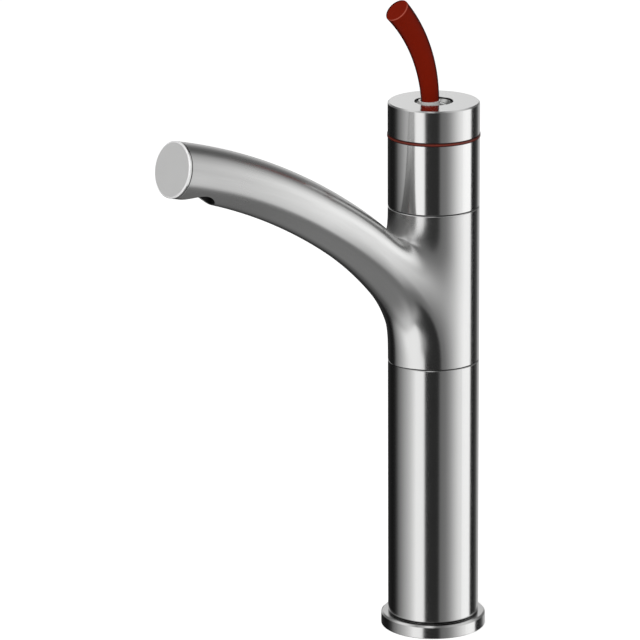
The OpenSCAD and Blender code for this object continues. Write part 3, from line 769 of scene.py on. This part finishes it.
def on_tube(facing, r):
    """The tube's lower wall, straight out along the outlet's axis."""
    depth = 0.0
    for _ in range(30):
        point = outlet_centre + round_outlet(facing, r) - depth * outlet_inward
        from_bend = point - tip_bend_centre
        over_bend = math.hypot(from_bend[1], from_bend[2]) - tip_bend_r
        depth -= math.hypot(point[0], over_bend) - tube_r
    return point


def wall_place(point):
    """Length along the last bend and angle round the tube of a point on its wall."""
    from_bend = point - tip_bend_centre
    turn = math.atan2(float(from_bend @ outlet_forward), float(from_bend @ outlet_inward))
    height = math.hypot(from_bend[1], from_bend[2]) - tip_bend_r
    return outlet_at + turn * tip_bend_r, math.atan2(height, point[0])


rim_facing = []
for i, j in rim_border:
    along = (window_end - window_start) * (j / plain_rows - 0.5)
    rim_facing.append(math.atan2(along, tube_r * under[window_columns[i]]))
rim_places = [wall_place(on_tube(f, outlet_r + outlet_rim)) for f in rim_facing]
window_rows = 8
for row in range(1, window_rows + 1):
    share = row / window_rows
    points = []
    for (i, j), (length, a) in zip(rim_border, rim_places):
        border_length = window_start + (window_end - window_start) * j / plain_rows
        border_a = under[window_columns[i]]
        a = half_turned(a + math.pi / 2)
        points.append(tube_wall(border_length + (length - border_length) * share,
                                border_a + (a - border_a) * share - math.pi / 2))
    previous_rim = spout_shell.grow(previous_rim, points)
for inset_share, sink_share in ((0.3, 0.1), (0.0, 0.4), (0.0, 1.0)):
    r, sink = outlet_r + outlet_rim * inset_share, outlet_rim * sink_share * outlet_inward
    previous_rim = spout_shell.grow(previous_rim, [on_tube(f, r) + sink for f in rim_facing])
bore_end = outlet_centre + outlet_depth_z * outlet_inward
bore_rim = [bore_end + round_outlet(f, outlet_r) for f in rim_facing]
spout_shell.faces.append(tuple(spout_shell.grow(previous_rim, bore_rim)))

# The tube's end, with a fine edge and the turned seat for the closing disc
edge_starts = tube_length - tube_edge
for length, r in ((window_end + (edge_starts - window_end) / 2, tube_r), (edge_starts, tube_r),
                  (tube_length, tube_r - tube_edge), (tube_length, tube_seat_r),
                  (tube_length - tube_seat_depth, tube_seat_r)):
    previous = spout_shell.grow(previous, [tube_wall(length, a, r) for a in around_steps])
spout_shell.faces.append(tuple(previous))

# The rest of the ring: its back, both bevelled ends and its bore
back_columns = 84
low_right, high_left = patch_columns, 2 * patch_columns + patch_rows
previous = [border_loop[low_right + j] for j in range(patch_rows + 1)]
left_side = [border_loop[(high_left + patch_rows - j) % len(border)]
             for j in range(patch_rows + 1)]
bottom_row = [border_loop[i] for i in range(patch_columns + 1)]
top_row = [border_loop[high_left - i] for i in range(patch_columns + 1)]
wall_heights = [low_z + patch_height * j / patch_rows for j in range(patch_rows + 1)]
for column in range(1, back_columns):
    angle = patch_half_angle + 2 * (math.pi - patch_half_angle) * column / back_columns
    side = spout_shell.add([ring_wall(angle, z) for z in wall_heights])
    bottom_row.append(side[0])
    top_row.append(side[-1])
    spout_shell.bridge(previous, side, closed=False)
    previous = side
spout_shell.bridge(previous, left_side, closed=False)
bottom_points = [spout_shell.points[k] for k in bottom_row]
ring_angles = [math.atan2(x, -y) for x, y, z in bottom_points]
inner_rows = []
for row, edge_z in ((bottom_row, ring_low_z), (top_row, ring_high_z)):
    for r in (column_r - ring_bevel, ring_bore_r):
        row = spout_shell.grow(row, [ring_wall(a, edge_z, r) for a in ring_angles])
    inner_rows.append(row)
spout_shell.bridge(inner_rows[0], inner_rows[1])

spout_sharp_angle = math.radians(35)
spout = spout_shell.mesh("spout", spout_sharp_angle)
edit = bmesh.new()
edit.from_mesh(spout.data)
bmesh.ops.recalc_face_normals(edit, faces=edit.faces)
edit.to_mesh(spout.data)
edit.free()
spout.data.set_sharp_from_angle(angle=spout_sharp_angle)
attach(spout, "spout")
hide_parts("spout_ring", "spout_tube")

# The tube is brushed by hand along its length, more coarsely towards its tip, and
# the ring is ground round like the column. The run holds, for every point, where it
# lies beside and above the tube's centre line, and how far along.
run_steps = 400
run_table = [along_tube(length) for length in np.linspace(0, tube_length, run_steps)]
run_centres = np.array([centre for centre, lean in run_table])
run = spout.data.attributes.new("tube_run", "FLOAT_VECTOR", "POINT")
for vertex in spout.data.vertices:
    place = np.array(vertex.co)
    nearest = int(np.argmin(((run_centres - place) ** 2)[:, 1:].sum(1)))
    centre, lean = run_table[nearest]
    upward = float((place - centre) @ tube_side(lean, math.pi / 2))
    run.data[vertex.index].vector = (place[0], upward, tube_length * nearest / (run_steps - 1))

# Where the finishes change, as pairs of places that a fade runs between
tube_starts_r = (0.026, 0.045)
hand_ground_front, hand_ground_z = (0.0, 0.016), (0.16, 0.2)
tip_finish_at = (0.10, 0.205)
crotch_finish_r = (0.02, 0.008)
# The tube's inside, in the outlet and the tip's seat, is painted dark: painted shade in the recess.
bore_shade_inside, bore_shade_along, bore_shade_colour = (0.0003, 0.0006), (0.14, 0.15), grey(0.03)
stroke_scale, stroke_stretch = 1500.0, (1.0, 1.0, 0.04)
smear_scale, smear_stretch, smear_share = 110.0, (1.0, 1.0, 0.25), 0.5
ring_rough, tube_rough, tone_spread, rough_spread = 0.17, 0.19, 0.1, 0.15
hand_ground_rougher, tip_rougher, crotch_rougher, tip_darker = 0.05, 0.1, 0.14, 0.22

brushed_steel, tree, shader = new_material("brushed_steel", metallic=1.0)
at = place_of(tree)
axes = axes_of(tree, at)
run_at = put(tree, "Attribute", attribute_name="tube_run").outputs["Vector"]
run_axes = axes_of(tree, run_at)
out_r = vector_of(tree, "LENGTH", flat_of(tree, axes))
on_tube_share = fade(tree, out_r, *tube_starts_r)
in_front = fade(tree, sum_of(tree, "MULTIPLY", axes["Y"], -1.0), *hand_ground_front)
hand_ground_share = sum_of(tree, "MULTIPLY", in_front, fade(tree, axes["Z"], *hand_ground_z))
tip_share = fade(tree, run_axes["Z"], *tip_finish_at)
crotch = tuple(seam_at(math.pi / 2)[0])
crotch_share = fade(tree, vector_of(tree, "DISTANCE", at, crotch), *crotch_finish_r)
strokes = noise(tree, vector_of(tree, "MULTIPLY", run_at, stroke_stretch), stroke_scale)
smears = noise(tree, vector_of(tree, "MULTIPLY", run_at, smear_stretch), smear_scale)
shade = mixed(tree, strokes, smears, smear_share)
marks = use_effect(tree, lathe_lines, Color=steel_colour, Roughness=ring_rough)
# Towards its tip the tube's colour is also made darker.
tip_darkening = sum_of(tree, "MULTIPLY", tip_share, tip_darker)
tube_tone = spread_about(tree, shade, 1.0, tone_spread)
tube_tone = sum_of(tree, "SUBTRACT", tube_tone, tip_darkening)
tube_colour = vector_of(tree, "SCALE", steel_colour[:3], tube_tone)
steel = blend_of(tree, on_tube_share, marks["Color"], tube_colour)
off_centre = vector_of(tree, "LENGTH", flat_of(tree, run_axes))
inside = sum_of(tree, "SUBTRACT", tube_r, off_centre)
bore_shade_share = sum_of(tree, "MULTIPLY", fade(tree, inside, *bore_shade_inside),
                    fade(tree, run_axes["Z"], *bore_shade_along))
steel = blend_of(tree, bore_shade_share, steel, bore_shade_colour)
ring_roughness = sum_of(tree, "MULTIPLY_ADD", hand_ground_share, hand_ground_rougher,
                        marks["Roughness"])
tube_roughness = sum_of(tree, "MULTIPLY_ADD", tip_share, tip_rougher, tube_rough)
tube_roughness = spread_about(tree, shade, tube_roughness, rough_spread)
rough = put(tree, "Mix", {0: on_tube_share, 2: ring_roughness, 3: tube_roughness},
            data_type="FLOAT").outputs[0]
rough = sum_of(tree, "MULTIPLY_ADD", crotch_share, crotch_rougher, rough)
put_on(tree, shader, steel, rough, strokes, depth=0.000004)
spout.data.materials.append(brushed_steel)
give(brushed_steel, "spout_ring", "spout_tube")

# A thin stainless disc, pressed into its seat, closes the spout's tip. Its face is
# fine blasted, so that it looks flat and even, and its rim is painted paler, a painted
# highlight. Its edge is turned bright, and the joint with the tube shows as a fine dark line.
rim_highlight_r = (0.0137, 0.01395)
face_starts, joint_ends = (0.00145, 0.00135), (0.0007, 0.0004)
rim_highlight_colour, joint_colour = grey(0.97), grey(0.08)
edge_metallic, face_metallic, edge_smoother = 1.0, 0.3, 0.32
tip_centre, tip_lean = along_tube(tube_length)
tip_axis = np.array([0.0, -math.sin(tip_lean), math.cos(tip_lean)])
blasted_steel, tree, shader = new_material("blasted_steel")
at = place_of(tree)
marks = use_effect(tree, grain, Color=(0.7, 0.7, 0.695, 1.0), Color_Spread=0.04, Roughness=0.5)
off_tip = vector_of(tree, "DISTANCE", at, tuple(tip_centre))
ahead = vector_of(tree, "DOT_PRODUCT", at, tuple(tip_axis))
ahead_of_tube = sum_of(tree, "SUBTRACT", ahead, float(tip_centre @ tip_axis))
edge_share = fade(tree, ahead_of_tube, *face_starts)
joint_share = fade(tree, ahead_of_tube, *joint_ends)
# The face's rim is painted paler: a painted highlight.
face_colour = blend_of(tree, fade(tree, off_tip, *rim_highlight_r), marks["Color"], rim_highlight_colour)
edge_colour = blend_of(tree, joint_share, steel_colour, joint_colour)
disc_colour = blend_of(tree, edge_share, face_colour, edge_colour)
rough = sum_of(tree, "MULTIPLY_ADD", edge_share, -edge_smoother, marks["Roughness"])
metal = sum_of(tree, "MULTIPLY_ADD", edge_share, edge_metallic - face_metallic, face_metallic)
tree.links.new(metal, shader["Metallic"])
put_on(tree, shader, disc_colour, rough, marks["Height"], depth=0.000004)
give(blasted_steel, "spout_end_cap")

# The aerator is a chromed sleeve screwed up into the outlet. It holds a perforated
# core of dark acetal and a steel screen, and a rubber washer seals it.
bright_chrome = turned_metal("bright_chrome", grey(0.9), roughness=0.06, depth=0.0000005)
give(bright_chrome, "aerator_housing")
give(dark_acetal, "aerator_core")
give(drawn_steel, "aerator_screen")
give(black_rubber, "aerator_washer")

# The sleeve above the spout is turned from the same steel as the column and ground
# with it. It screws down on the upper slide ring.
bright_ground_steel = turned_metal("bright_ground_steel", (0.87, 0.87, 0.865),
                                   roughness=0.14, depth=0.000002)
give(bright_ground_steel, "upper_housing")

# A thin ring of clear red plastic lies in a groove between sleeve and cap. It stands
# a little proud, and its lips are painted darker, painted shade where it lies in the shade of the
# steel.
accent_low, accent_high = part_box("accent_ring")[0][2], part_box("accent_ring")[1][2]
lip_shade_starts = [share * (accent_high - accent_low) for share in (0.15, 0.4)]
lip_shade_colour = (0.05, 0.009, 0.007, 1.0)
clear_red, tree, shader = new_material("clear_red", Specular_IOR_Level=0.25)
marks = use_effect(tree, grain, Color=(0.16, 0.026, 0.015, 1.0), Roughness=0.3,
                   Grain_Size=0.003, Color_Spread=0.45)
axes = axes_of(tree, place_of(tree))
off_middle = sum_of(tree, "SUBTRACT", axes["Z"], (accent_low + accent_high) / 2)
lip_shade_share = fade(tree, sum_of(tree, "ABSOLUTE", off_middle), *lip_shade_starts)
ring_colour = blend_of(tree, lip_shade_share, marks["Color"], lip_shade_colour)
put_on(tree, shader, ring_colour, marks["Roughness"], marks["Height"], depth=0.000002)
give(clear_red, "accent_ring")

# The cap is turned steel and screwed on the valve body's cup. Its top is faced on the
# lathe. The wall of its hole is painted black near the top, painted shade in the gap where it
# frames the dome.
cap_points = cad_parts["top_cap"].data.vertices
cap_hole_r = min(math.hypot(point.co.x, point.co.y) for point in cap_points)
cap_top_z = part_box("top_cap")[1][2]
shade_band_depth, shade_band_fade, shade_band_colour = 0.0009, 0.0002, grey(0.01)
hole_fade = (cap_hole_r + 0.00004, cap_hole_r + 0.00016)
faced_steel, tree, shader = new_material("faced_steel", metallic=1.0)
marks = use_effect(tree, lathe_lines, Color=(0.83, 0.83, 0.825, 1.0), Color_Spread=0.05,
                   Roughness=0.17)
axes = axes_of(tree, place_of(tree))
off_hole = fade(tree, vector_of(tree, "LENGTH", flat_of(tree, axes)), *hole_fade)
# A band of painted shade darkens the top of the hole's wall.
band_ends_z = cap_top_z - shade_band_depth
under_band = fade(tree, axes["Z"], band_ends_z, band_ends_z - shade_band_fade)
clear_share = sum_of(tree, "MAXIMUM", off_hole, under_band)
steel = blend_of(tree, clear_share, shade_band_colour, marks["Color"])
put_on(tree, shader, steel, marks["Roughness"], marks["Height"], depth=0.000002)
give(faced_steel, "top_cap")

# The cartridge is moulded of off-white nylon: its base, its housing, the rotor that
# turns with the lever, and the carrier of the moving disc.
white_nylon = grained("white_nylon", (0.75, 0.75, 0.72), roughness=0.45, depth=0.000004,
                      Color_Spread=0.05)
give(white_nylon, "cartridge_base", "cartridge_housing", "cartridge_rotor", "disc_carrier")

# Three soft rubber rings seal the cartridge's ports on the valve body. They are
# pressed into pockets in the underside of the cartridge's base.
give(black_rubber, "port_seals")

# Both discs are lapped ivory ceramic. The moving one slides on the fixed one and
# opens the hot and cold ports.
lapped_ceramic = grained("lapped_ceramic", (0.85, 0.83, 0.78), roughness=0.22, depth=0.000001,
                         Color_Spread=0.04, Grain_Size=0.0008)
give(lapped_ceramic, "fixed_disc", "moving_disc")

# A turned brass nut clamps the cartridge in the valve body's cup. It is screwed in
# from above and leaves the rotor free.
give(turned_brass, "cartridge_nut")

# The lever tilts on a drawn steel pin in the rotor. Its steel spindle ends in a ball
# that drives the disc, and a threaded steel stud joins it to the dome and the lever.
give(drawn_steel, "pivot_pin", "lever_spindle", "lever_stud")

# The dome is turned and polished steel. It moves with the lever and always closes
# the hole in the cap.
polished_steel = turned_metal("polished_steel", steel_colour, roughness=0.1, depth=0.000001)
give(polished_steel, "lever_dome")

# A small collar, plated in satin chrome, carries the lever's foot on the dome. It is
# made only partly metallic, to stay as light as in the photo.
satin_chrome = turned_metal("satin_chrome", (0.93, 0.92, 0.9), roughness=0.3, depth=0.000001,
                            metallic=0.4)
give(satin_chrome, "lever_collar")

# The lever is a curved tapering rod of aluminium, lacquered clear red, with a flat,
# slightly rounded tip. Its foot is screwed down on the dome through the collar.
lever_foot_r, lever_tip_r = 0.00465, 0.0067
lever_bend_r, lever_bend = 0.0783, math.radians(42.6)
lever_lean, lever_offset = math.radians(1.6), 0.0024
lever_foot_z = 0.28565
lever_sink = 0.003
lever_rim_r = 0.0006
lever_rings, lever_sides = 72, 96
rim_rings, face_rings = 6, 6
lever_foot = np.array([0.0, -lever_offset, lever_foot_z])
lever_angles = [full_turn * k / lever_sides for k in range(lever_sides)]


def lever_ring(share, ahead, r):
    """One ring of the rod, at a share of its bend, with a straight step ahead."""
    lean = lever_lean + lever_bend * share
    centre = lever_foot + np.array([
        0.0,
        -lever_bend_r * (math.cos(lever_lean) - math.cos(lean)),
        lever_bend_r * (math.sin(lean) - math.sin(lever_lean)),
    ])
    centre = centre + ahead * np.array([0.0, -math.sin(lean), math.cos(lean)])
    return [centre + r * tube_side(lean, a) for a in lever_angles]


lever_shell = Shell()
rim_starts = 1 - lever_rim_r / (lever_bend_r * lever_bend)
rings = [(0, -lever_sink, lever_foot_r)]
for k in range(lever_rings + 1):
    share = rim_starts * k / lever_rings
    rings.append((share, 0, lever_foot_r + (lever_tip_r - lever_foot_r) * share))
for k in range(1, rim_rings + 1):
    turn = math.pi / 2 * k / rim_rings
    rings.append((1, lever_rim_r * math.sin(turn) - lever_rim_r,
                  lever_tip_r - lever_rim_r * (1 - math.cos(turn))))
for k in range(1, face_rings):
    rings.append((1, 0, (lever_tip_r - lever_rim_r) * (1 - k / face_rings)))
loops = [lever_shell.add(lever_ring(*rings[0]))]
for ring in rings[1:]:
    loops.append(lever_shell.grow(loops[-1], lever_ring(*ring)))
lever_shell.faces.append(tuple(reversed(loops[0])))
lever_shell.faces.append(tuple(loops[-1]))
lever_sharp_angle = math.radians(50)
lever = lever_shell.mesh("lever_rod", lever_sharp_angle)

# The tip's rim is painted paler below, a painted highlight, and darker above, painted
# shade. The value is 1 where the highlight is brightest, -1 where the shade is darkest.
rim_light_turn = 0.35
rim_light = lever.data.attributes.new("lever_rim_light", "FLOAT", "POINT")
rim_loops = loops[lever_rings + 3:lever_rings + 2 + rim_rings]
for loop in rim_loops:
    for place, a in zip(loop, lever_angles):
        rim_light.data[place].value = math.cos(a + rim_light_turn)
for place, a in zip(rim_loops[-1], lever_angles):
    rim_light.data[place].value = min(math.cos(a + rim_light_turn), 0.0)
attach(lever, "lever")
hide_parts("lever")

# The lacquer is clear and red over bright metal. Along both sides of the rod, where it
# is seen at a slant, its colour is painted darker: painted shade.
highlight_fade, rim_shade_fade, slant_shade_fade = (0.0, 0.7), (-0.1, -0.6), (0.42, 0.8)
lacquer_colour, highlight_colour = (0.188, 0.0096, 0.0022, 1.0), (0.36, 0.075, 0.05, 1.0)
rim_shade_colour, slant_shade_colour = (0.035, 0.002, 0.001, 1.0), (0.03, 0.0006, 0.0003, 1.0)
red_lacquer, tree, shader = new_material("red_lacquer", Roughness=0.4, Specular_IOR_Level=0.03)
marks = use_effect(tree, grain, Color=lacquer_colour, Color_Spread=0.1, Grain_Size=0.006)
rim_lit = put(tree, "Attribute", attribute_name="lever_rim_light").outputs["Fac"]
slant = put(tree, "LayerWeight", {"Blend": 0.5}).outputs["Facing"]
lacquer = marks["Color"]
# Painted highlight and painted shade on the tip's rim, then painted shade at a slant
for cause, (start, end), colour in (
    (rim_lit, highlight_fade, highlight_colour),
    (rim_lit, rim_shade_fade, rim_shade_colour),
    (slant, slant_shade_fade, slant_shade_colour),
):
    lacquer = blend_of(tree, fade(tree, cause, start, end), lacquer, colour)
tree.links.new(lacquer, shader["Base Color"])
lever.data.materials.append(red_lacquer)
give(red_lacquer, "lever")
